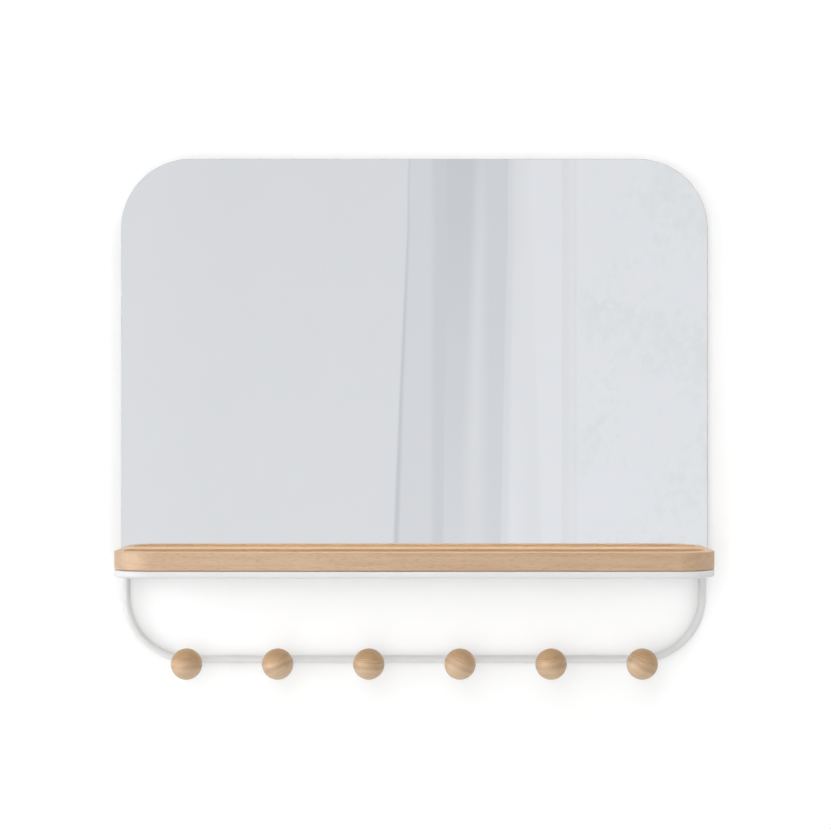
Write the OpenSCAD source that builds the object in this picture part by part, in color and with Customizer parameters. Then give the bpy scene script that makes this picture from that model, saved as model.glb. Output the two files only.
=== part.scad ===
// Wall mirror with a wooden shelf tray and a rail of ball hooks.
// Millimetres. +Z is up, the wall is the plane y = 0 and the front faces -Y.
// The origin lies midway between the two keyholes, in the wall plane.

/* [Mirror] */
// Width of the glass, and of the tray and the pan below it
glass_w = 610; // [500:5:900]
// Height of the glass, from the pan to the top edge
glass_h = 423.5; // [300:0.5:700]
// Thickness of the glass
glass_t = 4; // [3:0.5:6]
// Radius of the two upper corners of the glass
glass_corner_r = 73; // [40:1:110]

/* [Rod frame] */
// Diameter of the round bar
rod_d = 8; // [7:0.5:12]
// Bend radius at the middle of the bar, the same at all four corners
rod_bend_r = 66.5; // [40:0.5:75]
// How far the glass stands out past the bar
glass_overhang = 0.75; // [0.5:0.25:4]
// Depth of the middle of the hook rail below the top of the pan
rail_drop = 97.5; // [85:0.5:160]

/* [Backing board] */
// Gap between the board's edge and the bar around it
board_gap = 1; // [0.5:0.25:3]
// Thickness of the tabs that tie the bar to the board
tab_t = 1.5; // [1:0.25:1.75]
// Width of a tab along the bar
tab_w = 16; // [12:1:24]
// Reach of a tab over the board
tab_reach = 20; // [16:1:30]

/* [Shelf tray] */
// Depth of the tray, from the glass to its front
tray_d = 90; // [75:1:130]
// Height of the tray
tray_h = 19; // [16:0.5:30]
// Radius of the tray's two front corners
tray_corner_r = 42; // [20:1:55]
// Width of the front rim
rim_front = 17; // [8:0.5:24]
// Width of the rim along the glass
rim_rear = 22; // [8:0.5:26]
// Width of the side rims
rim_side = 8; // [6:0.5:16]
// Depth of the routed recess
recess_depth = 10; // [4:0.5:10]
// Radius of the recess's two corners at the glass
recess_rear_r = 9; // [6:0.5:18]
// Radius of the cove between the recess's walls and floor
cove_r = 3; // [1:0.5:4]
// Rounding of the tray's upper outside edge
tray_edge_r = 1.3; // [0.5:0.1:3]
// Rounding of the tray's lower outside edge
tray_foot_r = 1; // [0.5:0.1:3]

/* [Shelf pan] */
// Height of the pan's turned-down lip, over the sheet
pan_h = 7.5; // [6:0.5:14]
// Outside radius of the fold at the foot of the lip
lip_foot_r = 3; // [2:0.25:3.5]
// How far the lip turns in at its foot, from its outside face
lip_turn_in = 7; // [4:0.5:12]
// Thickness of the sheet
sheet_t = 1.5; // [1:0.25:1.75]
// Outside radius of the fold between the pan's top and its lip
fold_r = 1.5; // [0.5:0.25:3]
// Height of the turned-up flange behind the board
flange_h = 25; // [20:1:40]

/* [Hooks] */
// Number of hooks
hook_count = 6; // [2:1:6]
// Distance from one hook to the next
hook_pitch = 93; // [60:1:94]
// Distance from the middle of the rail to the middle of a ball
hook_reach = 50; // [40:1:70]
// Diameter of the balls
ball_d = 32; // [26:1:44]
// Diameter of the flat on the back of a ball
ball_flat_d = 10; // [9:0.5:16]
// Diameter of the studs
stud_d = 8; // [6:0.5:8.5]
// Diameter of the screwed end of a stud
thread_d = 5; // [4:0.5:5.5]
// Length of the screwed end of a stud
thread_l = 14; // [10:1:16]

/* [Wall fixing] */
// Distance between the two keyholes
keyhole_spacing = 400; // [200:5:440]
// Depth of the keyholes below the top of the glass
keyhole_drop = 70; // [60:1:120]
// Diameter of the keyhole's entry
entry_d = 9.5; // [8:0.5:12]
// Width of the keyhole's slot
slot_w = 5; // [4:0.5:6]
// Rise from the entry to the end of the slot
slot_rise = 11; // [9:1:16]
// Thickness of the hanger plates, and so the gap between the board and the wall
wall_gap = 2; // [2:0.25:4]
// Width of a hanger plate
plate_w = 20; // [18:1:30]
// Depth of the pocket for the wall screw's head, behind the plate
pocket_depth = 5; // [4:0.5:6]

/* [Screws and pads] */
// Diameter of the wood screws
screw_d = 3.5; // [3:0.5:4]
// Diameter of the screw heads
head_d = 6.5; // [6:0.5:8]
// Depth to which the screws go into the wood
screw_bite = 6; // [4:0.5:6]
// Number of screws between the pan and the tray
tray_screw_count = 4; // [2:1:6]
// Distance from one of them to the next
tray_screw_pitch = 160; // [60:5:160]
// Diameter of the rubber pads on the board
pad_d = 12; // [8:1:18]
// Distance from the edge of the board to a pad's outline
pad_margin = 20; // [8:1:40]
// Diameter of the rubber pads on the rail
rail_pad_d = 7; // [5:0.5:8]
// Distance between the two pads on the rail
rail_pad_spacing = 372; // [100:2:400]

/* [Fits] */
// Radial clearance of a screw or stud in its hole
hole_gap = 0.05; // [0.03:0.01:0.1]

/* [Hidden] */
$fn = 64;
overcut = 1;

rod_r = rod_d / 2;
ball_r = ball_d / 2;

// planes across the depth, from the wall forward
board_back_y = -wall_gap;
rod_y = board_back_y - rod_r;
glass_back_y = board_back_y - rod_d;
glass_front_y = glass_back_y - glass_t;
ball_y = rod_y - hook_reach;

// levels
shelf_z = keyhole_drop - glass_h;
rail_z = shelf_z - rail_drop;
loop_top_z = keyhole_drop - glass_overhang - rod_r;
loop_mid_z = (loop_top_z + rail_z) / 2;
leg_x = glass_w / 2 - glass_overhang - rod_r;

// the board fills the rod loop down to the pan and is flush with the back of the bar
board_t = rod_d;
board_half_w = leg_x - rod_r - board_gap;
board_top_z = loop_top_z - rod_r - board_gap;
board_corner_r = rod_bend_r - rod_r - board_gap;

// each tab lies across the bar's back and on the board
tab_l = rod_r + board_gap + tab_reach;
tab_screw_in = board_gap + rod_r + tab_reach / 2;
side_tab_z = [shelf_z + glass_h * 0.25, shelf_z + glass_h * 0.6];
top_tab_x = board_half_w * 0.5;

// hanger plates
plate_h = slot_rise + entry_d + 2 * plate_w;
plate_screw_z = plate_h / 2 - plate_w / 2;
plate_mid_z = slot_rise / 2;

// screws
head_h = (head_d - screw_d) / 2;
flange_screw_x = [-0.8, -0.27, 0.27, 0.8] * board_half_w;
flange_screw_z = shelf_z + flange_h / 2;

// rubber pads near the corners of the board
pad_inset = pad_margin + pad_d / 2;
pad_x = board_half_w - pad_inset;
pad_z = [board_top_z - board_corner_r * 0.3 - pad_inset, shelf_z + flange_h + pad_inset];

// the recess, whose front corners follow the tray's as far as its depth allows
recess_w = glass_w - 2 * rim_side;
recess_d = tray_d - rim_front - rim_rear;
recess_front_r = min(tray_corner_r - rim_side, recess_d - recess_rear_r - 1);

// how far the ball's flat lies behind its middle
flat_back = sqrt(pow(ball_r, 2) - pow(ball_flat_d / 2, 2));

hook_ids = [for (i = [1:hook_count]) i];

// ---------- shared outlines and solids ----------

// Rectangle from y = 0 to y = h with round far corners, and round near ones where near_r is set.
module outline(w, h, far_r, near_r = 0) {
    translate([-w / 2, near_r]) square([w, h - far_r - near_r]);
    translate([-w / 2 + far_r, h - far_r]) square([w - 2 * far_r, far_r]);
    for (side = [-1, 1]) translate([side * (w / 2 - far_r), h - far_r]) circle(far_r);
    if (near_r > 0) {
        translate([-w / 2 + near_r, 0]) square([w - 2 * near_r, near_r]);
        for (side = [-1, 1]) translate([side * (w / 2 - near_r), near_r]) circle(near_r);
    }
}

// Round bar bent to a U: two legs along +Y, two bends and a crossbar, given at its middle line.
module u_bar(half_w, reach, bend_r, bar_r) {
    straight = half_w - bend_r;
    for (side = [-1, 1]) {
        translate([side * half_w, 0, 0]) rotate([-90, 0, 0]) cylinder(h = reach - bend_r, r = bar_r);
        translate([side * straight, reach - bend_r, 0]) rotate([0, 0, side > 0 ? 0 : 90])
            rotate_extrude(angle = 90) translate([bend_r, 0]) circle(bar_r);
    }
    translate([-straight, reach, 0]) rotate([0, 90, 0]) cylinder(h = 2 * straight, r = bar_r);
}

// Slab on the outline above whose edges, at the sides and the far end, are rounded above and below.
module slab(w, d, h, corner_r, top_r, low_r = 0) {
    translate([0, 0, low_r]) linear_extrude(h - top_r - low_r) outline(w, d, corner_r);
    linear_extrude(h - top_r) outline(w - 2 * low_r, d - low_r, corner_r - low_r);
    if (top_r > 0) {
        translate([0, 0, low_r])
            linear_extrude(h - low_r) outline(w - 2 * top_r, d - top_r, corner_r - top_r);
        translate([0, 0, h - top_r]) u_bar(w / 2 - top_r, d - top_r, corner_r - top_r, top_r);
    }
    if (low_r > 0) translate([0, 0, low_r]) u_bar(w / 2 - low_r, d - low_r, corner_r - low_r, low_r);
}

// The space of a recess: straight walls and a cove all round its floor, open above.
module recess(w, d, depth, far_r, near_r, cove) {
    translate([0, 0, cove]) linear_extrude(depth - cove + overcut) outline(w, d, far_r, near_r);
    translate([0, cove, 0])
        linear_extrude(depth) outline(w - 2 * cove, d - 2 * cove, far_r - cove, near_r - cove);
    meet_y = (d - far_r + near_r) / 2;
    translate([0, meet_y, cove]) {
        u_bar(w / 2 - cove, d - meet_y - cove, far_r - cove, cove);
        mirror([0, 1, 0]) u_bar(w / 2 - cove, meet_y - cove, near_r - cove, cove);
    }
}

// Puts a shape drawn in X and Y upright, with its back in the plane y and its foot at z.
module upright(y, z) {
    translate([0, y, z]) rotate([90, 0, 0]) children();
}

// Puts a shape drawn toward +Y on the shelf, running forward from the glass, with its foot at z.
module on_shelf(z) {
    translate([0, glass_front_y, z]) mirror([0, 1, 0]) children();
}

// Countersunk screw with a cross recess: its head is flush with z = 0 and its shank points to -Z.
module flat_screw(length) {
    difference() {
        flat_screw_space(length, 0);
        for (turn = [0, 90]) rotate([0, 0, turn])
            cube([head_d * 0.55, 0.9, head_h * 1.4], center = true);
    }
}

// The hole that such a screw seats in.
module flat_screw_space(length, gap) {
    translate([0, 0, -head_h]) cylinder(h = head_h, r1 = screw_d / 2, r2 = head_d / 2);
    translate([0, 0, -length]) cylinder(h = length, r = screw_d / 2 + gap);
}

// Round-headed screw whose head sits below z = 0 and whose shank points to +Z.
module round_screw(length) {
    round_head_h = 2.2;
    difference() {
        union() {
            cylinder(h = length, r = screw_d / 2);
            translate([0, 0, -round_head_h / 2]) cylinder(h = round_head_h / 2, r = head_d / 2);
            translate([0, 0, -round_head_h])
                cylinder(h = round_head_h / 2, r1 = head_d * 0.36, r2 = head_d / 2);
        }
        translate([0, 0, -round_head_h]) for (turn = [0, 90]) rotate([0, 0, turn])
            cube([head_d * 0.55, 0.9, 2], center = true);
    }
}

// Turns a screw that points to -Z so that it points forward, to -Y, with its head at the plane y.
module driven_forward(x, y, z) {
    translate([x, y, z]) rotate([-90, 0, 0]) children();
}

// ---------- places of what repeats ----------

module at_tabs() {
    for (side = [-1, 1], z = side_tab_z) translate([side * leg_x, 0, z]) rotate([0, side < 0 ? 0 : 180, 0])
        children();
    for (side = [-1, 1]) translate([side * top_tab_x, 0, loop_top_z]) rotate([0, 90, 0]) children();
}

module at_tray_screws() {
    for (i = [0:tray_screw_count - 1])
        translate([
            (i - (tray_screw_count - 1) / 2) * tray_screw_pitch,
            glass_front_y - tray_d / 2,
            shelf_z - sheet_t
        ]) children();
}

function hook_x(i) = (i - (hook_count + 1) / 2) * hook_pitch;

// ---------- mirror and board ----------

module mirror_glass() {
    color("lightsteelblue")
        upright(glass_back_y, shelf_z) linear_extrude(glass_t) outline(glass_w, glass_h, glass_corner_r);
}

module backing_board() {
    color("tan") difference() {
        upright(board_back_y, shelf_z)
            linear_extrude(board_t) outline(2 * board_half_w, board_top_z - shelf_z, board_corner_r);
        for (side = [-1, 1]) {
            keyhole_pocket(side);
            plate_screw_spaces(side);
        }
        at_tabs() tab_screw_space();
        for (x = flange_screw_x) flange_screw_space(x);
    }
}

// Room behind a hanger plate for the head of the wall screw.
module keyhole_pocket(side) {
    pocket_r = entry_d / 2 + 1;
    upright(board_back_y + overcut, 0) linear_extrude(pocket_depth + overcut) {
        for (z = [0, slot_rise]) translate([side * keyhole_spacing / 2, z]) circle(pocket_r);
        translate([side * keyhole_spacing / 2 - pocket_r, 0]) square([2 * pocket_r, slot_rise]);
    }
}

// ---------- rod frame and its tabs ----------

module rod_loop() {
    translate([0, rod_y, loop_mid_z]) for (half = [0, 1]) mirror([0, 0, half]) rotate([90, 0, 0])
        u_bar(leg_x, (loop_top_z - rail_z) / 2, rod_bend_r, rod_r);
}

module frame_rod() {
    color("gainsboro") rod_loop();
}

// The tabs run inward, +X, from the middle of the bar.
module frame_tabs() {
    color("gainsboro") at_tabs() difference() {
        translate([0, board_back_y, -tab_w / 2]) cube([tab_l, tab_t, tab_w]);
        tab_screw_space();
    }
}

module tab_screw_space() {
    driven_forward(tab_screw_in, board_back_y + tab_t, 0) flat_screw_space(tab_t + screw_bite, hole_gap);
}

module tab_screws() {
    color("silver") at_tabs()
        driven_forward(tab_screw_in, board_back_y + tab_t, 0) flat_screw(tab_t + screw_bite);
}

// ---------- hanger plates ----------

module at_plate_screws(side) {
    for (z = [-plate_screw_z, plate_screw_z])
        driven_forward(side * keyhole_spacing / 2, 0, plate_mid_z + z) children();
}

module plate_screw_spaces(side) {
    at_plate_screws(side) flat_screw_space(wall_gap + screw_bite, hole_gap);
}

module keyhole_plate(side) {
    color("silver") difference() {
        upright(0, plate_mid_z - plate_h / 2) linear_extrude(wall_gap) difference() {
            translate([side * keyhole_spacing / 2, 0]) outline(plate_w, plate_h, 4, 4);
            translate([side * keyhole_spacing / 2, plate_h / 2 - plate_mid_z]) {
                circle(entry_d / 2);
                translate([0, slot_rise]) circle(slot_w / 2);
                translate([-slot_w / 2, 0]) square([slot_w, slot_rise]);
            }
        }
        plate_screw_spaces(side);
    }
}

module keyhole_screws() {
    color("gray") for (side = [-1, 1]) at_plate_screws(side) flat_screw(wall_gap + screw_bite);
}

// ---------- shelf pan ----------

module flange_screw_space(x) {
    driven_forward(x, board_back_y + sheet_t, flange_screw_z)
        flat_screw_space(sheet_t + screw_bite, hole_gap);
}

module shelf_pan() {
    color("white") difference() {
        union() {
            pan_shell();
            rear_plate();
            translate([-board_half_w, board_back_y, shelf_z - sheet_t])
                cube([2 * board_half_w, sheet_t, flange_h + sheet_t]);
        }
        leg_notches();
        for (x = flange_screw_x) flange_screw_space(x);
        at_tray_screws() translate([0, 0, -overcut])
            cylinder(h = sheet_t + 2 * overcut, r = screw_d / 2 + hole_gap);
    }
}

// The folded shell under the tray: its sides run back past the glass to the bar.
module pan_shell() {
    depth = tray_d + glass_t;
    translate([0, glass_t, 0]) on_shelf(shelf_z - pan_h) difference() {
        slab(glass_w, depth, pan_h, tray_corner_r, fold_r, lip_foot_r);
        translate([0, -overcut, 0]) pan_hollow(depth + overcut);
    }
}

// The room inside the lip, and its mouth between the turned-in feet.
module pan_hollow(depth) {
    translate([0, 0, sheet_t])
        slab(glass_w - 2 * sheet_t, depth - sheet_t, pan_h - 2 * sheet_t, tray_corner_r - sheet_t,
            0, lip_foot_r - sheet_t);
    translate([0, 0, -overcut]) linear_extrude(sheet_t + 2 * overcut)
        outline(glass_w - 2 * lip_turn_in, depth - lip_turn_in, tray_corner_r - lip_turn_in);
}

// The sheet goes on under the glass and the board.
module rear_plate() {
    translate([-leg_x, glass_front_y, shelf_z - sheet_t])
        cube([2 * leg_x, board_back_y - glass_front_y, sheet_t]);
}

// The sheet meets the front and the inner side of each leg.
module leg_notches() {
    for (side = [-1, 1]) translate([side * leg_x, rod_y, shelf_z - pan_h - overcut]) {
        cylinder(h = pan_h + 2 * overcut, r = rod_r);
        translate([-rod_r, 0, 0]) cube([rod_d, rod_d, pan_h + 2 * overcut]);
    }
}

module pan_screws() {
    color("gray") for (x = flange_screw_x)
        driven_forward(x, board_back_y + sheet_t, flange_screw_z) flat_screw(sheet_t + screw_bite);
}

// ---------- shelf tray ----------

module shelf_tray() {
    color("burlywood") difference() {
        on_shelf(shelf_z) slab(glass_w, tray_d, tray_h, tray_corner_r, tray_edge_r, tray_foot_r);
        translate([0, -rim_rear, 0]) on_shelf(shelf_z + tray_h - recess_depth)
            recess(recess_w, recess_d, recess_depth, recess_front_r, recess_rear_r, cove_r);
        at_tray_screws() cylinder(h = sheet_t + screw_bite + hole_gap, r = screw_d / 2 + hole_gap);
    }
}

module tray_screws() {
    color("gray") at_tray_screws() round_screw(sheet_t + screw_bite);
}

// ---------- hooks ----------

// A stud is welded to the front of the rail and ends in a thread inside the ball.
module hook_stud(i) {
    color("gainsboro") difference() {
        translate([hook_x(i), rod_y, rail_z]) rotate([90, 0, 0]) {
            cylinder(h = hook_reach - flat_back, r = stud_d / 2);
            cylinder(h = hook_reach - flat_back + thread_l, r = thread_d / 2);
        }
        rod_loop();
    }
}

module hook_ball(i) {
    color("burlywood") translate([hook_x(i), ball_y, rail_z]) rotate([90, 0, 0]) difference() {
        sphere(ball_r);
        translate([0, 0, -flat_back - ball_r]) cylinder(h = ball_r, r = ball_r);
        translate([0, 0, -flat_back - overcut])
            cylinder(h = thread_l + 2 * overcut, r = thread_d / 2 + hole_gap);
    }
}

// ---------- rubber pads ----------

// Pads 1 and 2 are near the top of the board, 3 and 4 near the shelf.
module wall_bumper(i) {
    side = i % 2 == 1 ? -1 : 1;
    level = i < 3 ? 0 : 1;
    color("dimgray") translate([side * pad_x, 0, pad_z[level]]) rotate([90, 0, 0])
        cylinder(h = wall_gap, r = pad_d / 2);
}

// A pad between the rail and the wall, hollowed to sit on the bar.
module rail_bumper(side) {
    color("dimgray") difference() {
        translate([side * rail_pad_spacing / 2, 0, rail_z]) rotate([90, 0, 0])
            cylinder(h = wall_gap + rod_r, r = rail_pad_d / 2);
        rod_loop();
        translate([side * rail_pad_spacing / 2, rod_y, rail_z])
            cube([rod_d * 2, rod_r, rod_d * 2], center = true);
    }
}

mirror_glass();
backing_board();
frame_rod();
frame_tabs();
tab_screws();
keyhole_plate(-1);  // keyhole_plate_left
keyhole_plate(1);  // keyhole_plate_right
keyhole_screws();
shelf_pan();
pan_screws();
shelf_tray();
tray_screws();
for (i = hook_ids) {
    hook_stud(i);
    hook_ball(i);
}
for (i = [1:4]) {
    wall_bumper(i);
}
rail_bumper(-1);  // rail_bumper_left
rail_bumper(1);  // rail_bumper_right
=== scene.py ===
import math

import bmesh
import bpy
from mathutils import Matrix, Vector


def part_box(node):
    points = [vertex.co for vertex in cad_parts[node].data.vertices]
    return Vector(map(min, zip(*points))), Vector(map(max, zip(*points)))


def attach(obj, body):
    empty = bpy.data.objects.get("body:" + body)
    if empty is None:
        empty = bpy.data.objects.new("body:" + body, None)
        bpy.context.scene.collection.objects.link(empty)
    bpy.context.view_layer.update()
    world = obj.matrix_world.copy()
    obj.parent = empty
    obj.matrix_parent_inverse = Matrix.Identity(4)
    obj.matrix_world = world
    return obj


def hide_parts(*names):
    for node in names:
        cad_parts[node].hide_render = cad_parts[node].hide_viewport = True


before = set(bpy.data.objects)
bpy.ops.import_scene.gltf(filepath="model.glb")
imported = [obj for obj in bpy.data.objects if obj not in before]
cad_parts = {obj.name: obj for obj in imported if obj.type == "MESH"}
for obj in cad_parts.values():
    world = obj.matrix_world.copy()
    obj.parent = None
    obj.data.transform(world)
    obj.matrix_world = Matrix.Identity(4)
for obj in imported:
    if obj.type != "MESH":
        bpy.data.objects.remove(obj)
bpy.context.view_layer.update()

# ---------- sizes, in metres, from the frame or as the part's source has them ----------

GLASS_LOW, GLASS_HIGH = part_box("mirror_glass")
TRAY_LOW, TRAY_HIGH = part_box("shelf_tray")
ROD_LOW, ROD_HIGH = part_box("frame_rod")
GLASS_CORNER_R = 0.073
ROD_BEND_R = 0.0665
TRAY_CORNER_R = 0.042
RIM_FRONT = 0.017
RIM_REAR = 0.022
RIM_SIDE = 0.008
RECESS_DEPTH = 0.010
RECESS_REAR_R = 0.009
COVE_R = 0.003
TRAY_EDGE_R = 0.0013
TRAY_FOOT_R = 0.0010
HOOK_COUNT = 6
WALL_PAD_COUNT = 4

# small breaks of the edges, which the finish needs and the solids leave out
GLASS_ARRIS = 0.0007
TRAY_GAP = 0.0005
TRAY_GAP_DEPTH = 0.004
RIM_EASE = 0.0004

# a corner radius too small to see, for square corners
SQUARE_R = 0.00001

# how finely the meshes are divided, and the angle from which an edge is sharp
GLASS_CORNER_STEPS = 32
BAR_BEND_STEPS = 32
BAR_SIDES = 40
BALL_LEVELS = 5
SHARP_ANGLE = math.radians(50)
MERGE_DISTANCE = 1e-7

# the photograph: its size, where the eye level and the part's middle fall, and the scale at the glass
PHOTO_W = 831
PHOTO_H = 830
EYE_LEVEL_PX = 430.8
MIDDLE_PX = 414.35
GLASS_TOP_PX = 158.7
PX_PER_METRE = 961.7
CAMERA_TO_GLASS = 2.25
SENSOR_W = 36.0


# ---------- node helpers ----------

class Graph:
    """Adds nodes to one tree and joins them. A value, a socket or nothing can feed an input."""

    def __init__(self, tree):
        self.tree = tree

    def add(self, kind, feeds=None, **settings):
        node = self.tree.nodes.new(kind)
        for name, value in settings.items():
            setattr(node, name, value)
        for key, value in (feeds or {}).items():
            self.feed(node.inputs[key], value)
        return node

    def feed(self, socket, value):
        if isinstance(value, bpy.types.NodeSocket):
            self.tree.links.new(value, socket)
        else:
            socket.default_value = value

    def math(self, operation, a, b=0.0, c=0.0, clamp=False):
        node = self.add("ShaderNodeMath", {0: a, 1: b, 2: c}, operation=operation, use_clamp=clamp)
        return node.outputs[0]

    def vector(self, operation, a, b=(0.0, 0.0, 0.0)):
        return self.add("ShaderNodeVectorMath", {0: a, 1: b}, operation=operation).outputs[0]

    def band(self, value, low, high, to_low=0.0, to_high=1.0):
        """Smooth step of value from low..high to to_low..to_high."""
        feeds = {"Value": value, "From Min": low, "From Max": high, "To Min": to_low, "To Max": to_high}
        return self.add("ShaderNodeMapRange", feeds, interpolation_type="SMOOTHSTEP").outputs["Result"]

    def noise(self, at, scale=1.0, detail=2.0, rough=0.5):
        feeds = {"Vector": at, "Scale": scale, "Detail": detail, "Roughness": rough}
        return self.add("ShaderNodeTexNoise", feeds).outputs["Fac"]

    def mix(self, factor, a, b, blend="MIX"):
        node = self.add("ShaderNodeMix", data_type="RGBA", blend_type=blend)
        self.feed(node.inputs["Factor"], factor)
        self.feed(node.inputs["A"], a)
        self.feed(node.inputs["B"], b)
        return node.outputs["Result"]


def new_group(name, inputs, outputs, tree_type="ShaderNodeTree"):
    """A node group with named sockets: (name, kind, default) in, (name, kind) out."""
    tree = bpy.data.node_groups.new(name, tree_type)
    for label, kind, default in inputs:
        socket = tree.interface.new_socket(label, in_out="INPUT", socket_type="NodeSocket" + kind)
        if default is not None:
            socket.default_value = default
    for label, kind in outputs:
        tree.interface.new_socket(label, in_out="OUTPUT", socket_type="NodeSocket" + kind)
    graph = Graph(tree)
    return graph, graph.add("NodeGroupInput").outputs, graph.add("NodeGroupOutput").inputs


def new_material(name):
    """An empty material: its graph and the surface socket of its output."""
    material = bpy.data.materials.new(name)
    material.use_nodes = True
    material.node_tree.nodes.clear()
    graph = Graph(material.node_tree)
    return material, graph, graph.add("ShaderNodeOutputMaterial").inputs["Surface"]


def linear(red, green, blue):
    """A colour given as it shows, 0 to 255, as the shader needs it."""
    def channel(value):
        value /= 255
        return value / 12.92 if value <= 0.04045 else ((value + 0.055) / 1.055) ** 2.4
    return (channel(red), channel(green), channel(blue), 1.0)


# ---------- effects that several materials share ----------

def make_wood_group():
    """Sawn hardwood. The board's length runs along the vector's X; the heart lies far below it.

    Each noise is stretched along the grain: its vector says how many waves a metre holds each way.
    """
    g, given, out = new_group(
        "wood_grain",
        [
            ("Vector", "Vector", None),
            ("Light", "Color", linear(222, 194, 165)),
            ("Dark", "Color", linear(182, 148, 115)),
            ("Fleck", "Color", linear(140, 104, 74)),
            ("Ring spacing", "Float", 0.004),
            ("Ring strength", "Float", 0.5),
            ("Fleck strength", "Float", 0.5),
            ("Heart depth", "Float", 0.12),
            ("Streak strength", "Float", 0.6),
            ("Patch strength", "Float", 0.5),
        ],
        [("Color", "Color"), ("Gloss", "Float"), ("Height", "Float")],
    )
    at = given["Vector"]
    drift = g.noise(g.vector("MULTIPLY", at, (5.0, 16.0, 16.0)), detail=2.0)
    wobble = g.noise(g.vector("MULTIPLY", at, (22.0, 150.0, 150.0)), detail=2.0)
    split = g.add("ShaderNodeSeparateXYZ", {0: at})
    deep = g.math("ADD", split.outputs["Z"], given["Heart depth"])
    squares = g.math("ADD", g.math("POWER", split.outputs["Y"], 2.0), g.math("POWER", deep, 2.0))
    radius = g.math("SQRT", squares)
    bent = g.math("MULTIPLY_ADD", drift, 0.020, radius)
    bent = g.math("MULTIPLY_ADD", wobble, 0.0012, bent)
    turns = g.math("DIVIDE", bent, given["Ring spacing"])
    phase = g.math("FRACT", turns)
    late_wood = g.math("MULTIPLY", g.band(phase, 0.35, 0.92), g.band(phase, 0.93, 1.0, 1.0, 0.0))
    fibres = g.noise(g.vector("MULTIPLY", at, (45.0, 1500.0, 1500.0)), detail=3.0, rough=0.6)
    streaks = g.noise(g.vector("MULTIPLY", at, (14.0, 260.0, 260.0)), detail=3.0, rough=0.55)
    patches = g.noise(g.vector("MULTIPLY", at, (9.0, 34.0, 34.0)), detail=2.0)
    ray = g.noise(g.vector("MULTIPLY", at, (150.0, 1300.0, 1300.0)), detail=1.0, rough=0.4)
    flecks = g.band(ray, 0.55, 0.7)
    tone = g.math("MULTIPLY", late_wood, given["Ring strength"])
    tone = g.math("MULTIPLY_ADD", g.math("SUBTRACT", streaks, 0.5), given["Streak strength"], tone)
    tone = g.math("MULTIPLY_ADD", g.math("SUBTRACT", fibres, 0.5), 0.3, tone)
    tone = g.math("MULTIPLY_ADD", g.math("SUBTRACT", patches, 0.5), given["Patch strength"], tone)
    tone = g.math("ADD", tone, 0.3, clamp=True)
    base = g.mix(tone, given["Light"], given["Dark"])
    spotted = g.math("MULTIPLY", flecks, given["Fleck strength"], clamp=True)
    g.feed(out["Color"], g.mix(spotted, base, given["Fleck"]))
    g.feed(out["Gloss"], g.math("MULTIPLY_ADD", fibres, 0.14, g.math("MULTIPLY", late_wood, -0.05)))
    g.feed(out["Height"], g.math("SUBTRACT", fibres, g.math("MULTIPLY", flecks, 0.6)))
    return g.tree


def make_skin_group():
    """Fine even texture of a sprayed, plated or moulded skin, with slow drift in tone."""
    g, given, out = new_group(
        "fine_skin",
        [
            ("Vector", "Vector", None),
            ("Color", "Color", (0.8, 0.8, 0.8, 1.0)),
            ("Grain size", "Float", 0.0008),
            ("Tone drift", "Float", 0.03),
            ("Roughness", "Float", 0.4),
            ("Roughness drift", "Float", 0.08),
        ],
        [("Color", "Color"), ("Roughness", "Float"), ("Height", "Float")],
    )
    at = given["Vector"]
    slow = g.noise(g.vector("MULTIPLY", at, (14.0, 14.0, 14.0)), detail=3.0)
    fine = g.noise(at, scale=g.math("DIVIDE", 1.0, given["Grain size"]), detail=2.0)
    shade = g.math("MULTIPLY_ADD", g.math("SUBTRACT", slow, 0.5), given["Tone drift"], 1.0)
    even = g.add("ShaderNodeCombineXYZ", {0: shade, 1: shade, 2: shade}).outputs[0]
    g.feed(out["Color"], g.vector("MULTIPLY", given["Color"], even))
    spread = g.math("MULTIPLY", g.math("SUBTRACT", slow, 0.5), given["Roughness drift"])
    g.feed(out["Roughness"], g.math("ADD", given["Roughness"], spread))
    g.feed(out["Height"], fine)
    return g.tree


WOOD_GROUP = make_wood_group()
SKIN_GROUP = make_skin_group()


# ---------- materials ----------

# how the recess warms and darkens the tray's wood: partly the cut wood's own tone, partly painted shade
# inside the recess
RECESS_TINT_AND_SHADE = (1.0, 0.96, 0.78, 1.0)

# the balls' late wood: its colour, how strong its fine lines and its broad band are, and the lines' distance
LATE_WOOD = linear(136, 94, 58)
LINE_STRENGTH = 0.8
BAND_STRENGTH = 0.3
LINE_STEP = 0.0019

# heights over a ball's middle between which the lines and the band fade in and out again
LINES_FADE_IN = (0.0, 0.0015)
LINES_FADE_OUT = (0.0068, 0.0092)
BAND_FADE_IN = (-0.0055, -0.0020)
BAND_FADE_OUT = (-0.0012, 0.0012)

# painted light and shade on each ball: paler and cooler at its foot, darker and warmer at its head, and the
# heights between which one turns into the other
PAINTED_LIGHT_FOOT_TINT = (1.06, 1.11, 1.17, 1.0)
PAINTED_SHADE_HEAD_TINT = (0.97, 0.91, 0.81, 1.0)
PAINTED_SHADE_HEIGHTS = (-0.004, 0.009)


def object_coordinates(g):
    return g.add("ShaderNodeTexCoord").outputs["Object"]


def lacquered_wood(g, surface, color, gloss, height, roughness, specular=0.5):
    """Thin satin lacquer over the given wood."""
    relief = g.add("ShaderNodeBump", {"Height": height, "Strength": 0.12, "Distance": 0.0003})
    feeds = {
        "Base Color": color,
        "Roughness": g.math("ADD", gloss, roughness),
        "Normal": relief.outputs[0],
        "Specular IOR Level": specular,
    }
    g.feed(surface, g.add("ShaderNodeBsdfPrincipled", feeds).outputs[0])


def grained(g, at, values):
    """The shared wood grain at this vector, with its values."""
    grain = g.add("ShaderNodeGroup", node_tree=WOOD_GROUP)
    g.feed(grain.inputs["Vector"], at)
    for key, value in values.items():
        g.feed(grain.inputs[key], value)
    return grain.outputs


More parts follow.
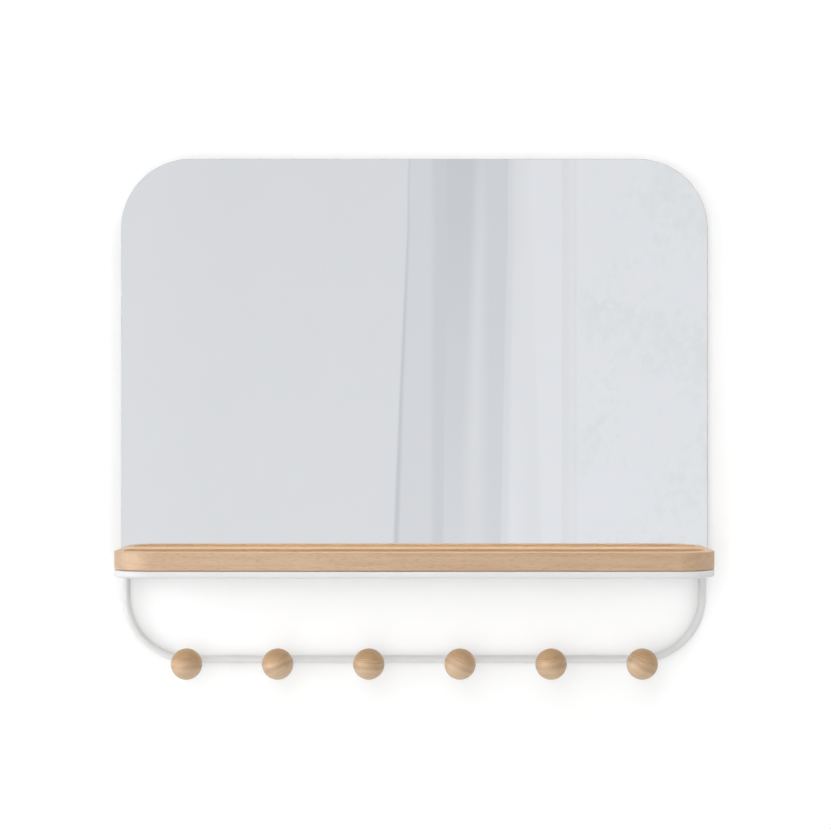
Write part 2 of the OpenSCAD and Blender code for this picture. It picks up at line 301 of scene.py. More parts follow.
def tray_wood_material():
    """The tray's wood. Where the cutter ran, the attribute "routed" warms and darkens it, partly as painted
    shade inside the recess, and takes off some gloss.
    """
    material, g, surface = new_material("tray_wood")
    grain = grained(g, object_coordinates(g), {
        "Ring spacing": 0.0085, "Ring strength": 0.12, "Fleck strength": 0.26, "Heart depth": 0.5,
        "Light": linear(208, 176, 144), "Dark": linear(171, 136, 103)})
    routed = g.add("ShaderNodeAttribute", attribute_name="routed").outputs["Fac"]
    # the recess's tint: partly the cut wood's own tone, partly painted shade inside the recess
    color = g.mix(routed, grain["Color"], g.mix(1.0, grain["Color"], RECESS_TINT_AND_SHADE, "MULTIPLY"))
    gloss = g.math("MULTIPLY_ADD", routed, 0.3, grain["Gloss"])
    lacquered_wood(g, surface, color, gloss, grain["Height"], 0.42)
    return material


def ball_wood_material():
    """The balls' wood: a few fine late-wood lines above the middle and one broad soft band below them, with
    painted shade darkening and warming each ball towards its head and painted light paling its foot.
    """
    material, g, surface = new_material("ball_wood")
    at = g.add("ShaderNodeAttribute", attribute_name="grain").outputs["Vector"]
    split = g.add("ShaderNodeSeparateXYZ", {0: at}).outputs
    grain = grained(g, at, {
        "Ring spacing": 0.006, "Ring strength": 0.1, "Fleck strength": 0.12, "Heart depth": 0.08,
        "Light": linear(211, 180, 145), "Dark": linear(173, 136, 98)})
    slow = g.noise(g.vector("MULTIPLY", at, (15.0, 60.0, 60.0)), detail=1.0)
    height = g.math("MULTIPLY_ADD", g.math("SUBTRACT", slow, 0.5), 0.0045, split["Z"])
    turns = g.math("DIVIDE", height, LINE_STEP)
    phase = g.math("FRACT", turns)
    line = g.math("MULTIPLY", g.band(phase, 0.34, 0.5), g.band(phase, 0.5, 0.68, 1.0, 0.0))
    along = g.math("MULTIPLY", split["X"], 70.0)
    which_line = g.math("MULTIPLY", g.math("FLOOR", turns), 3.7)
    on_line = g.add("ShaderNodeCombineXYZ", {0: along, 1: which_line}).outputs[0]
    uneven = g.band(g.noise(on_line, detail=2.0), 0.3, 0.62)
    reach = g.math("MULTIPLY", g.band(height, *LINES_FADE_IN), g.band(height, *LINES_FADE_OUT, 1.0, 0.0))
    fine = g.math("MULTIPLY", g.math("MULTIPLY", line, uneven), reach)
    broad = g.math("MULTIPLY", g.band(height, *BAND_FADE_IN), g.band(height, *BAND_FADE_OUT, 1.0, 0.0))
    # painted shade and light: each ball is darker and warmer towards its head, paler and cooler at its foot
    tint = g.mix(g.band(height, *PAINTED_SHADE_HEIGHTS), PAINTED_LIGHT_FOOT_TINT, PAINTED_SHADE_HEAD_TINT)
    color = g.mix(1.0, grain["Color"], tint, "MULTIPLY")
    color = g.mix(g.math("MULTIPLY", broad, BAND_STRENGTH), color, LATE_WOOD)
    color = g.mix(g.math("MULTIPLY", fine, LINE_STRENGTH), color, LATE_WOOD)
    lacquered_wood(g, surface, color, grain["Gloss"], grain["Height"], 0.42, specular=0.55)
    return material


def skin_material(name, values, metallic=0.0, relief_strength=0.1, relief_depth=0.0001, specular=0.5):
    """A sprayed, plated or moulded surface."""
    material, g, surface = new_material(name)
    skin = g.add("ShaderNodeGroup", node_tree=SKIN_GROUP)
    g.feed(skin.inputs["Vector"], object_coordinates(g))
    for key, value in values.items():
        g.feed(skin.inputs[key], value)
    relief = g.add("ShaderNodeBump",
        {"Height": skin.outputs["Height"], "Strength": relief_strength, "Distance": relief_depth})
    feeds = {
        "Base Color": skin.outputs["Color"],
        "Roughness": skin.outputs["Roughness"],
        "Metallic": metallic,
        "Normal": relief.outputs[0],
        "Specular IOR Level": specular,
    }
    g.feed(surface, g.add("ShaderNodeBsdfPrincipled", feeds).outputs[0])
    return material


def silver_material():
    """The silvered face: nearly perfect, with the faint waviness of float glass."""
    material, g, surface = new_material("silvered_face")
    at = object_coordinates(g)
    haze = g.noise(g.vector("MULTIPLY", at, (30.0, 30.0, 30.0)), detail=4.0)
    tint = g.mix(haze, linear(243, 244, 247), linear(241, 242, 245))
    feeds = {"Base Color": tint, "Metallic": 1.0, "Roughness": 0.0}
    g.feed(surface, g.add("ShaderNodeBsdfPrincipled", feeds).outputs[0])
    return material


def fibreboard_material():
    """Raw board: felted brown fibres with dark specks."""
    material, g, surface = new_material("fibreboard")
    at = object_coordinates(g)
    felt = g.noise(at, scale=900.0, detail=4.0, rough=0.7)
    cloud = g.noise(at, scale=25.0, detail=3.0)
    specks = g.band(g.noise(at, scale=420.0, detail=1.0), 0.66, 0.74)
    color = g.mix(felt, linear(150, 118, 84), linear(190, 158, 120))
    color = g.mix(g.math("MULTIPLY", cloud, 0.35), color, linear(140, 108, 76))
    color = g.mix(g.math("MULTIPLY", specks, 0.5), color, linear(92, 68, 46))
    relief = g.add("ShaderNodeBump", {"Height": felt, "Strength": 0.25, "Distance": 0.0002})
    rough = g.math("MULTIPLY_ADD", felt, 0.1, 0.8)
    feeds = {"Base Color": color, "Roughness": rough, "Normal": relief.outputs[0]}
    g.feed(surface, g.add("ShaderNodeBsdfPrincipled", feeds).outputs[0])
    return material


TRAY_WOOD = tray_wood_material()
BALL_WOOD = ball_wood_material()
PAINT = skin_material(
    "white_powder_coat",
    {"Color": linear(231, 231, 231), "Grain size": 0.0009, "Tone drift": 0.02, "Roughness": 0.4},
    specular=0.12)
GROUND_EDGE = skin_material(
    "ground_glass_edge",
    {"Color": linear(194, 199, 198), "Grain size": 0.0004, "Tone drift": 0.05, "Roughness": 0.45})
BACK_PAINT = skin_material(
    "mirror_back_paint",
    {"Color": linear(120, 124, 126), "Grain size": 0.0012, "Tone drift": 0.06, "Roughness": 0.6})
ZINC = skin_material(
    "zinc_plate",
    {"Color": linear(205, 207, 212), "Grain size": 0.0005, "Tone drift": 0.12, "Roughness": 0.32,
     "Roughness drift": 0.2}, metallic=1.0)
RUBBER = skin_material(
    "pad_rubber",
    {"Color": linear(196, 196, 194), "Grain size": 0.0006, "Tone drift": 0.05, "Roughness": 0.7},
    specular=0.3)
SILVER = silver_material()
FIBREBOARD = fibreboard_material()


# ---------- meshes made from rings of points ----------

def outline_ring(half_w, near, far, near_r, far_r, steps=16):
    """Corners of a rectangle rounded by near_r at near and far_r at far, anticlockwise, as (x, y)."""
    corners = (
        (half_w - near_r, near + near_r, near_r, -90),
        (half_w - far_r, far - far_r, far_r, 0),
        (-half_w + far_r, far - far_r, far_r, 90),
        (-half_w + near_r, near + near_r, near_r, 180),
    )
    points = []
    for x, y, radius, start in corners:
        for step in range(steps + 1):
            angle = math.radians(start + 90 * step / steps)
            points.append((x + radius * math.cos(angle), y + radius * math.sin(angle)))
    return points


def loft(name, rings, materials, material_of=lambda row: 0, routed_from=None):
    """A closed skin through rings of equal length, capped at both ends, as an object.

    material_of gives a row's material, with -1 for the first cap. From the ring routed_from on, the
    attribute "routed" is 1.
    """
    bm = bmesh.new()
    routed = bm.verts.layers.float.new("routed")
    rows = [[bm.verts.new(point) for point in ring] for ring in rings]
    cut_rows = [] if routed_from is None else rows[routed_from:]
    for row in cut_rows:
        for vert in row:
            vert[routed] = 1.0
    count = len(rings[0])
    for row, (low, high) in enumerate(zip(rows, rows[1:])):
        for i in range(count):
            j = (i + 1) % count
            face = bm.faces.new((low[i], low[j], high[j], high[i]))
            face.material_index = material_of(row)
    bm.faces.new(list(reversed(rows[0]))).material_index = material_of(-1)
    bm.faces.new(rows[-1]).material_index = material_of(len(rows) - 1)
    bmesh.ops.remove_doubles(bm, verts=bm.verts, dist=MERGE_DISTANCE)
    bmesh.ops.dissolve_degenerate(bm, edges=bm.edges, dist=MERGE_DISTANCE)
    bmesh.ops.recalc_face_normals(bm, faces=bm.faces)
    mesh = bpy.data.meshes.new(name)
    bm.to_mesh(mesh)
    bm.free()
    for material in materials:
        mesh.materials.append(material)
    mesh.shade_smooth()
    mesh.set_sharp_from_angle(angle=SHARP_ANGLE)
    piece = bpy.data.objects.new(name, mesh)
    bpy.context.scene.collection.objects.link(piece)
    even = piece.modifiers.new("even_normals", "WEIGHTED_NORMAL")
    even.keep_sharp = True
    return piece


def quarter_round(radius, steps=5):
    """(inset, drop) pairs of a quarter round that starts upright and ends flat."""
    turns = [math.radians(90 * step / steps) for step in range(steps + 1)]
    return [(radius * (1 - math.cos(turn)), radius * (1 - math.sin(turn))) for turn in turns]


# ---------- the mirror ----------

def make_mirror():
    half_w = GLASS_HIGH.x
    back_y, front_y = GLASS_HIGH.y, GLASS_LOW.y
    silver, ground, painted = range(3)

    def ring(inset, y):
        flat = outline_ring(half_w - inset, GLASS_LOW.z + inset, GLASS_HIGH.z - inset,
            SQUARE_R, GLASS_CORNER_R - inset, GLASS_CORNER_STEPS)
        return [(x, y, z) for x, z in flat]

    rings = [ring(0, back_y), ring(0, front_y + GLASS_ARRIS), ring(GLASS_ARRIS, front_y)]
    face_row = len(rings) - 1

    def material_of(row):
        if row < 0:
            return painted
        return silver if row == face_row else ground

    pane = loft("mirror_pane", rings, [SILVER, GROUND_EDGE, BACK_PAINT], material_of)
    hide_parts("mirror_glass")
    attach(pane, "root")


# ---------- the shelf tray ----------

def rim_ease_steps(steps=4):
    """(inset, rise) pairs over the eased inner edge of the rim, from its flat top down."""
    pairs = []
    for step in range(steps + 1):
        turn = math.radians(90 * step / steps)
        pairs.append((RIM_EASE * math.sin(turn), RIM_EASE * math.cos(turn)))
    return pairs


def make_tray():
    half_w = TRAY_HIGH.x
    front, rear = TRAY_LOW.y, TRAY_HIGH.y
    foot, top = TRAY_LOW.z, TRAY_HIGH.z
    recess_half_w = half_w - RIM_SIDE
    recess_front = front + RIM_FRONT
    recess_rear = rear - RIM_REAR
    recess_corner_r = TRAY_CORNER_R - RIM_SIDE

    def outer(inset, z):
        flat = outline_ring(half_w - inset, front + inset, rear, TRAY_CORNER_R - inset, SQUARE_R)
        return [(x, y, z) for x, y in flat]

    def inner(inset, z):
        flat = outline_ring(recess_half_w - inset, recess_front + inset, recess_rear - inset,
            recess_corner_r - inset, RECESS_REAR_R - inset)
        return [(x, y, z) for x, y in flat]

    lifted = foot + TRAY_GAP
    rings = [outer(TRAY_GAP_DEPTH, foot), outer(TRAY_GAP_DEPTH, lifted)]
    rings += [outer(inset, lifted + drop) for inset, drop in reversed(quarter_round(TRAY_FOOT_R))]
    rings += [outer(inset, top - drop) for inset, drop in quarter_round(TRAY_EDGE_R)]
    rings += [inner(inset - RIM_EASE, top - RIM_EASE + rise) for inset, rise in rim_ease_steps()]
    last_rim_ring = len(rings) - 1
    floor = top - RECESS_DEPTH
    rings += [inner(inset, floor + drop) for inset, drop in quarter_round(COVE_R)]
    tray = loft("tray", rings, [TRAY_WOOD], routed_from=last_rim_ring)
    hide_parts("shelf_tray")
    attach(tray, "root")


# ---------- pieces made by geometry nodes ----------

def new_geometry_tree(name, inputs):
    return new_group(name, inputs, [("Geometry", "Geometry")], "GeometryNodeTree")


def finish_tree(graph, geometry, material, out):
    """Ends a tree: smooth faces, instances made real, and the material set."""
    smooth = graph.add("GeometryNodeSetShadeSmooth", {"Geometry": geometry}).outputs[0]
    real = graph.add("GeometryNodeRealizeInstances", {"Geometry": smooth}).outputs[0]
    done = graph.add("GeometryNodeSetMaterial", {"Geometry": real, "Material": material}).outputs[0]
    graph.feed(out["Geometry"], done)


def grow(tree, name, values):
    """Runs a tree with these input values and keeps the result as a plain mesh object."""
    seed = bpy.data.objects.new(name + "_seed", bpy.data.meshes.new(name + "_seed"))
    bpy.context.scene.collection.objects.link(seed)
    modifier = seed.modifiers.new("grow", "NODES")
    modifier.node_group = tree
    sockets = {item.name: item.identifier for item in tree.interface.items_tree
        if item.item_type == "SOCKET" and item.in_out == "INPUT"}
    for key, value in values.items():
        modifier[sockets[key]] = value
    depsgraph = bpy.context.evaluated_depsgraph_get()
    depsgraph.update()
    mesh = bpy.data.meshes.new_from_object(seed.evaluated_get(depsgraph), depsgraph=depsgraph)
    bpy.data.objects.remove(seed)
    mesh.name = name
    piece = bpy.data.objects.new(name, mesh)
    bpy.context.scene.collection.objects.link(piece)
    return piece


def make_bar_tree():
    """A closed loop of round bar with round corners, upright in the plane y."""
    g, given, out = new_geometry_tree(
        "bent_bar_loop",
        [
            ("Width", "Float", 0.6),
            ("Height", "Float", 0.5),
            ("Middle", "Vector", None),
            ("Bend radius", "Float", 0.06),
            ("Bar radius", "Float", 0.004),
            ("Material", "Material", None),
        ],
    )
    square = g.add("GeometryNodeCurvePrimitiveQuadrilateral",
        {"Width": given["Width"], "Height": given["Height"]}, mode="RECTANGLE").outputs[0]
    bent = g.add("GeometryNodeFilletCurve",
        {"Curve": square, "Count": BAR_BEND_STEPS, "Radius": given["Bend radius"]}, mode="POLY").outputs[0]
    section = g.add("GeometryNodeCurvePrimitiveCircle",
        {"Resolution": BAR_SIDES, "Radius": given["Bar radius"]}, mode="RADIUS").outputs[0]
    bar = g.add("GeometryNodeCurveToMesh", {"Curve": bent, "Profile Curve": section}).outputs[0]
    stood = g.add("GeometryNodeTransform",
        {"Geometry": bar, "Translation": given["Middle"], "Rotation": (math.pi / 2, 0.0, 0.0)}).outputs[0]
    finish_tree(g, stood, given["Material"], out)
    return g.tree


def make_ball_tree():
    """A turned ball with a flat on its back. "grain" keeps each point's place in the blank."""
    g, given, out = new_geometry_tree(
        "turned_ball",
        [
            ("Radius", "Float", 0.016),
            ("Flat", "Float", 0.015),
            ("Centre", "Vector", None),
            ("Grain turn", "Rotation", None),
            ("Blank", "Vector", None),
            ("Material", "Material", None),
        ],
    )
    ball = g.add("GeometryNodeMeshIcoSphere",
        {"Radius": given["Radius"], "Subdivisions": BALL_LEVELS}).outputs[0]
    place = g.add("GeometryNodeInputPosition").outputs[0]
    split = g.add("ShaderNodeSeparateXYZ", {0: place}).outputs
    cut = g.math("MINIMUM", split["Y"], given["Flat"])
    flattened = g.add("ShaderNodeCombineXYZ", {0: split["X"], 1: cut, 2: split["Z"]}).outputs[0]
    ball = g.add("GeometryNodeSetPosition", {"Geometry": ball, "Position": flattened}).outputs[0]
    turned = g.add("FunctionNodeRotateVector", {"Vector": place, "Rotation": given["Grain turn"]}).outputs[0]
    in_blank = g.vector("ADD", turned, given["Blank"])
    kept = g.add("GeometryNodeStoreNamedAttribute",
        {"Geometry": ball, "Name": "grain", "Value": in_blank}, data_type="FLOAT_VECTOR", domain="POINT")
    moved = g.add("GeometryNodeTransform",
        {"Geometry": kept.outputs[0], "Translation": given["Centre"]}).outputs[0]
    finish_tree(g, moved, given["Material"], out)
    return g.tree


def make_rod_frame():
    bar_r = (ROD_HIGH.y - ROD_LOW.y) / 2
    values = {
        "Width": ROD_HIGH.x - ROD_LOW.x - 2 * bar_r,
        "Height": ROD_HIGH.z - ROD_LOW.z - 2 * bar_r,
        "Middle": (ROD_LOW + ROD_HIGH) / 2,
        "Bend radius": ROD_BEND_R,
        "Bar radius": bar_r,
        "Material": PAINT,
    }
    rod = grow(make_bar_tree(), "rod_frame", values)
    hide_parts("frame_rod")
    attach(rod, "root")


# how far each ball's grain is turned in the plane that faces the viewer, left to right, in degrees,
# and how far apart in their blank the balls are cut
GRAIN_TURNS = (0, 24, -3, -24, 8, -28)
BLANK_STEP = 0.13


def make_balls():
    tree = make_ball_tree()
    for number in range(1, HOOK_COUNT + 1):
        low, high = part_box(f"hook_ball_{number}")
        radius = (high.x - low.x) / 2
        centre_y = low.y + radius
        values = {
            "Radius": radius,
            "Flat": high.y - centre_y,
            "Centre": ((low.x + high.x) / 2, centre_y, (low.z + high.z) / 2),
            "Grain turn": (0.0, math.radians(GRAIN_TURNS[number - 1]), 0.0),
            "Blank": (BLANK_STEP * number, 0.0, 0.0),
            "Material": BALL_WOOD,
        }
        ball = grow(tree, f"ball_{number}", values)
        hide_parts(f"hook_ball_{number}")
        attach(ball, "root")


# ---------- finishes of the nodes that stay ----------

def dress_nodes():
    finishes = {
        "backing_board": FIBREBOARD,
        "frame_tabs": PAINT,
        "shelf_pan": PAINT,
        "tab_screws": ZINC,
        "keyhole_plate_left": ZINC,
        "keyhole_plate_right": ZINC,
        "keyhole_screws": ZINC,
        "pan_screws": ZINC,
        "tray_screws": ZINC,
        "rail_bumper_left": RUBBER,
        "rail_bumper_right": RUBBER,
    }
    finishes.update({f"hook_stud_{i}": PAINT for i in range(1, HOOK_COUNT + 1)})
    finishes.update({f"wall_bumper_{i}": RUBBER for i in range(1, WALL_PAD_COUNT + 1)})
    for node, material in finishes.items():
        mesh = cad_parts[node].data
        mesh.materials.clear()
        mesh.materials.append(material)


# ---------- the stage: wall and floor ----------

WALL_Y = 0.0005
FLOOR_Z = -1.25
STAGE_HALF = 4.0
WALL_WHITE = 0.72
FLOOR_WHITE = 0.9

# how much the wall and the floor glow for the camera, so that they read as white
WALL_LIFT = 0.405
FLOOR_LIFT = 0.3

# near the object the glow fades by this share, within this distance: a painted contact shade
CONTACT_SHADE = 0.95
SHADE_REACH = 0.036

# a glossy ray shorter than this comes from the object's own back, and passes through the wall
BACK_GAP = 0.008


def stage_plane(name, corners, material):
    mesh = bpy.data.meshes.new(name)
    mesh.from_pydata(corners, [], [range(len(corners))])
    mesh.materials.append(material)
    plane = bpy.data.objects.new(name, mesh)
    bpy.context.scene.collection.objects.link(plane)


def stage_material(name, white, lift, throws_shadow):
    """White matt surface, clear from behind, that reads as white to the camera and keeps shadows, with a
    painted contact shade where the object is near.
    """
    material, g, surface = new_material(name)
    path = g.add("ShaderNodeLightPath").outputs
    matt = g.add("ShaderNodeBsdfDiffuse", {"Color": (white, white, white, 1.0)}).outputs[0]
    seen = g.math("MAXIMUM", path["Is Camera Ray"], path["Is Glossy Ray"])
    seen = g.math("MAXIMUM", seen, path["Is Transmission Ray"])
    # painted contact shade: the glow fades where the object is near
    near = g.add("ShaderNodeAmbientOcclusion", {"Distance": SHADE_REACH}, samples=16).outputs["AO"]
    share = g.math("MULTIPLY_ADD", near, CONTACT_SHADE * lift, (1.0 - CONTACT_SHADE) * lift)
    lifted = g.math("MULTIPLY", seen, share)
    glow = g.add("ShaderNodeEmission", {"Color": (1.0, 1.0, 1.0, 1.0), "Strength": lifted}).outputs[0]
    lit = g.add("ShaderNodeAddShader", {0: matt, 1: glow}).outputs[0]
    open_to = g.add("ShaderNodeNewGeometry").outputs["Backfacing"]
    if not throws_shadow:
        from_its_back = g.math("LESS_THAN", path["Ray Length"], BACK_GAP)
        from_its_back = g.math("MULTIPLY", from_its_back, path["Is Glossy Ray"])
        open_to = g.math("MAXIMUM", open_to, g.math("MAXIMUM", from_its_back, path["Is Shadow Ray"]))
    clear = g.add("ShaderNodeBsdfTransparent").outputs[0]
    g.feed(surface, g.add("ShaderNodeMixShader", {0: open_to, 1: lit, 2: clear}).outputs[0])
    return material


def make_stage():
    half = STAGE_HALF
    wall = [(-half, WALL_Y, FLOOR_Z), (half, WALL_Y, FLOOR_Z), (half, WALL_Y, half), (-half, WALL_Y, half)]
    stage_plane("wall", wall, stage_material("wall_white", WALL_WHITE, WALL_LIFT, False))
    floor = [(-half, -half, FLOOR_Z), (half, -half, FLOOR_Z), (half, half, FLOOR_Z), (-half, half, FLOOR_Z)]
    stage_plane("floor", floor, stage_material("floor_white", FLOOR_WHITE, FLOOR_LIFT, True))


# ---------- what the mirror shows ----------

CAMERA_Z = GLASS_HIGH.z - (EYE_LEVEL_PX - GLASS_TOP_PX) / PX_PER_METRE

# the reflector stands round the room at this radius, and a metre on the glass shows this many metres of it
REFLECTOR_R = 4.2
REFLECTION_SPREAD = (CAMERA_TO_GLASS + REFLECTOR_R) / CAMERA_TO_GLASS
REFLECTOR_TOP = 7.0
REFLECTOR_REACH = math.radians(115)
REFLECTOR_STEPS = 72

# the plain part's tone, how much it falls for each metre up, how much lighter its far left is,
# and the places across the glass between which that gain fades
PLAIN_TONE = 0.7885
TONE_FALL = 0.065
LEFT_GAIN = 0.015
LEFT_SPAN = (-0.32, -0.2)

# heights on the glass, from eye level, between which the pleats lean and grow: past them they hang straight
PLEATS_LEAN_FROM = -0.15
PLEATS_LEAN_TO = 0.3

# edges of the soft pleats: place across the glass at eye level, lean, step in tone, softness,
# and how much the step grows for each metre further down
PLEATS = (
    # the thin dark seam before the first pleat
    (-0.017, 0.04, -0.14, 0.0015, 0.0),
    (-0.013, 0.03, 0.10, 0.002, 0.0),
    # the first pleat turns into shade, and a sharp fold lies in it low down
    (0.0185, 0.0, -0.055, 0.004, 0.0),
    (0.031, 0.01, 0.03, 0.001, 0.2),
    # a soft light ridge
    (0.055, 0.04, 0.065, 0.008, -0.3),
    (0.0715, -0.01, -0.06, 0.009, 0.15),
    # the shade ends at a sharp edge and fades into the light stretch
    (0.092, 0.02, 0.055, 0.001, 0.0),
    (0.099, 0.015, 0.05, 0.003, 0.05),
    (0.112, 0.0, -0.01, 0.010, -0.15),
    (0.128, -0.03, 0.025, 0.003, 0.05),
    # a narrow grey band and a thin line close the pleats
    (0.1525, 0.0, -0.04, 0.001, 0.0),
    (0.16, 0.0, 0.025, 0.004, 0.0),
    (0.1655, 0.0, -0.02, 0.001, 0.0),
    (0.168, 0.0, 0.035, 0.0015, 0.0),
)

# the colour of the room's dark and light tones, and the tones between which one turns into the other
DARK_CAST = (0.976, 1.002, 1.032, 1.0)
LIGHT_CAST = (0.99, 1.002, 1.015, 1.0)
CAST_TONES = (0.64, 0.78)

# the cloudy part: its colour and strength, and where across the glass it fades in
CLOUD_COLOR = (0.905, 0.948, 0.918, 1.0)
CLOUD_STRENGTH = 0.65
CLOUDS_FADE_IN = (0.155, 0.19)

# how many waves a metre holds of its broad clouds and of its mottle, and between which sums they show
CLOUD_WAVES = (3.6, 3.6, 3.6)
MOTTLE_WAVES = (38.0, 38.0, 30.0)
CLOUD_SUMS = (1.05, 1.32)

# the rest of the room: the angle where it starts, and its tone in rough reflections and in the mirror
SIDE_FROM = 0.27
SIDE_BLEND = 0.05
ROOM_TONE = 0.35
MIRRORED_ROOM_TONE = 0.72

# bright stretches of the room for rough reflections: from and to in radians, and what they add to the tone
ROOM_SIDES = (
    (-0.62, -0.31, 20.0),
    (-1.00, -0.62, 14.0),
    (-1.95, -1.00, 22.0),
)
ROOM_SIDE_BLEND = 0.08

# the heights between which these stretches fade in and out again
ROOM_SIDE_FOOT = (-1.25, -1.0)
ROOM_SIDE_HEAD = (-0.55, -0.34)

# above this height rough reflections see plain white
OPEN_ABOVE_Z = 3.2

# the lamps don't show in reflections, so a room of this tone stands in for what the glass throws back
THROWN_BACK = 3.6


def pleated_tone(g, across, up):
    """The plain tone, with the edge of each pleat added to it."""
    plain = g.band(across, *LEFT_SPAN, PLAIN_TONE + LEFT_GAIN, PLAIN_TONE)
    level = g.math("MULTIPLY_ADD", up, -TONE_FALL, plain)
    leaning = g.math("MINIMUM", g.math("MAXIMUM", up, PLEATS_LEAN_FROM), PLEATS_LEAN_TO)
    for at, lean, step, soft, growth in PLEATS:
        edge = g.math("MULTIPLY_ADD", leaning, lean, at)
        low = g.math("SUBTRACT", edge, soft)
        high = g.math("ADD", edge, soft)
        grown = g.math("MULTIPLY_ADD", leaning, -growth, step)
        level = g.math("ADD", level, g.band(across, low, high, 0.0, grown))
    return level


def cloudy_share(g, across, up):
    """How cloudy the light part at the right is, most of all at its foot and its far end."""
    at = object_coordinates(g)
    clouds = g.noise(g.vector("MULTIPLY", at, CLOUD_WAVES), detail=2.0)
    mottle = g.noise(g.vector("MULTIPLY", at, MOTTLE_WAVES), detail=4.0, rough=0.62)
    lower_right = g.math("MULTIPLY_ADD", across, 0.7, g.math("MULTIPLY", up, -0.35))
    clouds = g.math("ADD", g.math("MULTIPLY_ADD", mottle, 0.9, clouds), lower_right)
    return g.math("MULTIPLY", g.band(clouds, *CLOUD_SUMS), g.band(across, *CLOUDS_FADE_IN))


def with_room_sides(g, level, angle, height, mirrored):
    """Adds the room's bright stretches, which a mirror image doesn't show."""
    tall = g.math("MULTIPLY", g.band(height, *ROOM_SIDE_FOOT), g.band(height, *ROOM_SIDE_HEAD, 1.0, 0.0))
    tall = g.math("MULTIPLY", tall, g.math("SUBTRACT", 1.0, mirrored))
    for start, end, tone in ROOM_SIDES:
        from_start = g.band(angle, start - ROOM_SIDE_BLEND, start + ROOM_SIDE_BLEND)
        to_end = g.band(angle, end - ROOM_SIDE_BLEND, end + ROOM_SIDE_BLEND, 1.0, 0.0)
        wide = g.math("MULTIPLY", from_start, to_end)
        level = g.math("MULTIPLY_ADD", g.math("MULTIPLY", wide, tall), tone, level)
    return level


def reflector_material():
    """What the mirror shows: a pale plain wall, a soft pleated stretch and a lighter cloudy part."""
    material, g, surface = new_material("reflector")
    split = g.add("ShaderNodeSeparateXYZ", {0: object_coordinates(g)}).outputs
    angle = g.math("ARCTAN2", split["X"], g.math("MULTIPLY", split["Y"], -1.0))
    across = g.math("MULTIPLY", angle, REFLECTOR_R / REFLECTION_SPREAD)
    up = g.math("DIVIDE", g.math("SUBTRACT", split["Z"], CAMERA_Z), REFLECTION_SPREAD)
    level = pleated_tone(g, across, up)
    pale = g.mix(g.band(level, *CAST_TONES), DARK_CAST, LIGHT_CAST)
    cloudy = g.math("MULTIPLY", cloudy_share(g, across, up), CLOUD_STRENGTH)
    color = g.mix(cloudy, pale, CLOUD_COLOR)
    path = g.add("ShaderNodeLightPath").outputs
    bounced = g.math("GREATER_THAN", path["Diffuse Depth"], 0.5)
    mirrored = g.math("MULTIPLY", path["Is Singular Ray"], g.math("SUBTRACT", 1.0, bounced))
    in_glass = g.band(g.math("ABSOLUTE", angle), SIDE_FROM, SIDE_FROM + SIDE_BLEND, 1.0, 0.0)
    room = g.math("MULTIPLY_ADD", mirrored, MIRRORED_ROOM_TONE - ROOM_TONE, ROOM_TONE)
    beside = g.math("MULTIPLY", g.math("SUBTRACT", 1.0, in_glass), room)
    level = g.math("MULTIPLY_ADD", level, in_glass, beside)
    level = with_room_sides(g, level, angle, split["Z"], mirrored)
    level = g.math("ADD", level, g.math("MULTIPLY", bounced, g.math("SUBTRACT", THROWN_BACK, level)))
    open_above = g.math("GREATER_THAN", split["Z"], OPEN_ABOVE_Z)
    level = g.math("MAXIMUM", level, g.math("MULTIPLY", open_above, g.math("SUBTRACT", 1.0, mirrored)))
    glow = g.add("ShaderNodeEmission", {"Color": color, "Strength": level}).outputs[0]
    g.feed(surface, glow)
    return material


def make_reflector():
    """A tall curved card behind the camera that only reflections see."""
    points = []
    for step in range(REFLECTOR_STEPS + 1):
        angle = REFLECTOR_REACH * (2 * step / REFLECTOR_STEPS - 1)
        x, y = REFLECTOR_R * math.sin(angle), -REFLECTOR_R * math.cos(angle)
        points += [(x, y, FLOOR_Z), (x, y, REFLECTOR_TOP)]
    faces = [(2 * i, 2 * i + 2, 2 * i + 3, 2 * i + 1) for i in range(REFLECTOR_STEPS)]
    mesh = bpy.data.meshes.new("reflector")
    mesh.from_pydata(points, [], faces)
    mesh.materials.append(reflector_material())
    mesh.shade_smooth()
    card = bpy.data.objects.new("reflector", mesh)
    bpy.context.scene.collection.objects.link(card)
    card.visible_camera = False
    card.visible_diffuse = False
    card.visible_shadow = False
    card.visible_transmission = False
    card.visible_volume_scatter = False


# ---------- light and camera ----------

# the even light of the room on the object
WORLD_LIGHT = 0.19

# the points that the lamps face
MIDDLE = (0.0, 0.0, -0.25)
BACK_MIDDLE = (0.0, 0.0, -0.2)

# soft square lamps: name, width, power, place and the point it faces
LAMPS = (
    ("front_left", 1.2, 14.8, (-0.45, -2.9, 0.5), MIDDLE),
    ("side_left", 1.6, 40.0, (-3.0, -1.1, 0.5), MIDDLE),
    ("above", 1.6, 8.0, (-0.4, -1.2, 2.6), MIDDLE),
    ("high_right", 1.1, 31.0, (1.0, -1.0, 2.4), MIDDLE),
    ("low", 1.0, 6.5, (-0.4, -2.6, -0.7), MIDDLE),
    ("right", 1.6, 10.0, (2.4, -1.9, 0.2), MIDDLE),
    ("behind", 1.0, 14.0, (0.4, 1.3, 0.5), BACK_MIDDLE),
)


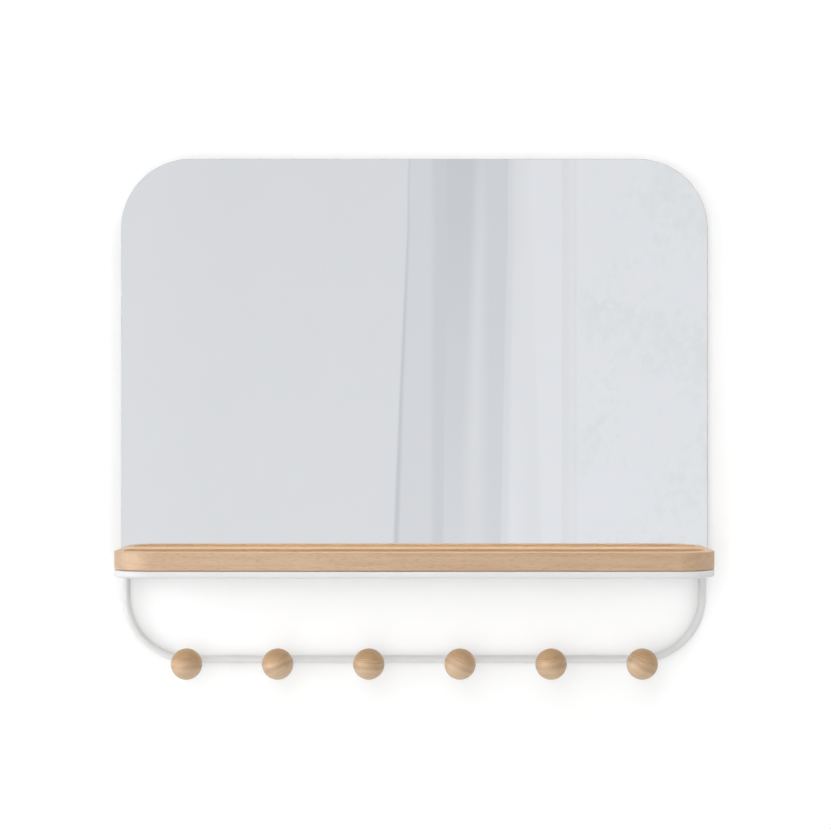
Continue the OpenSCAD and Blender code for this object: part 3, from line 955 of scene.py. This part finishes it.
def make_world():
    """White to the camera, in reflections and through glass; a soft even light on the rest."""
    world = bpy.data.worlds.new("studio")
    world.use_nodes = True
    world.node_tree.nodes.clear()
    g = Graph(world.node_tree)
    path = g.add("ShaderNodeLightPath").outputs
    seen = g.math("MAXIMUM", path["Is Camera Ray"], path["Is Glossy Ray"])
    seen = g.math("MAXIMUM", seen, path["Is Transmission Ray"])
    plain = (1.0, 1.0, 1.0, 1.0)
    white = g.add("ShaderNodeBackground", {"Color": plain, "Strength": 1.0}).outputs[0]
    soft = g.add("ShaderNodeBackground", {"Color": plain, "Strength": WORLD_LIGHT}).outputs[0]
    mixed = g.add("ShaderNodeMixShader", {0: seen, 1: soft, 2: white}).outputs[0]
    g.feed(g.add("ShaderNodeOutputWorld").inputs["Surface"], mixed)
    bpy.context.scene.world = world


def make_lamp(name, size, power, place, aim):
    data = bpy.data.lights.new(name, "AREA")
    data.shape = "SQUARE"
    data.size = size
    data.energy = power
    lamp = bpy.data.objects.new(name, data)
    bpy.context.scene.collection.objects.link(lamp)
    lamp.location = place
    direction = [a - b for a, b in zip(aim, place)]
    flat = math.hypot(direction[0], direction[1])
    lamp.rotation_euler = (math.atan2(flat, -direction[2]), 0.0, math.atan2(-direction[0], direction[1]))
    lamp.visible_camera = False
    lamp.visible_glossy = False


def make_camera():
    data = bpy.data.cameras.new("camera")
    data.sensor_width = SENSOR_W
    focal_px = PX_PER_METRE * CAMERA_TO_GLASS
    data.lens = focal_px / PHOTO_W * SENSOR_W
    data.shift_x = (PHOTO_W / 2 - MIDDLE_PX) / PHOTO_W
    data.shift_y = (EYE_LEVEL_PX - PHOTO_H / 2) / PHOTO_W
    data.clip_start = 0.05
    data.clip_end = 50.0
    camera = bpy.data.objects.new("camera", data)
    bpy.context.scene.collection.objects.link(camera)
    camera.location = (0.0, GLASS_LOW.y - CAMERA_TO_GLASS, CAMERA_Z)
    camera.rotation_euler = (math.pi / 2, 0.0, 0.0)
    bpy.context.scene.camera = camera


make_mirror()
make_tray()
make_rod_frame()
make_balls()
dress_nodes()
make_stage()
make_reflector()
make_world()
for lamp in LAMPS:
    make_lamp(*lamp)
make_camera()
bpy.context.scene.view_settings.view_transform = "Standard"
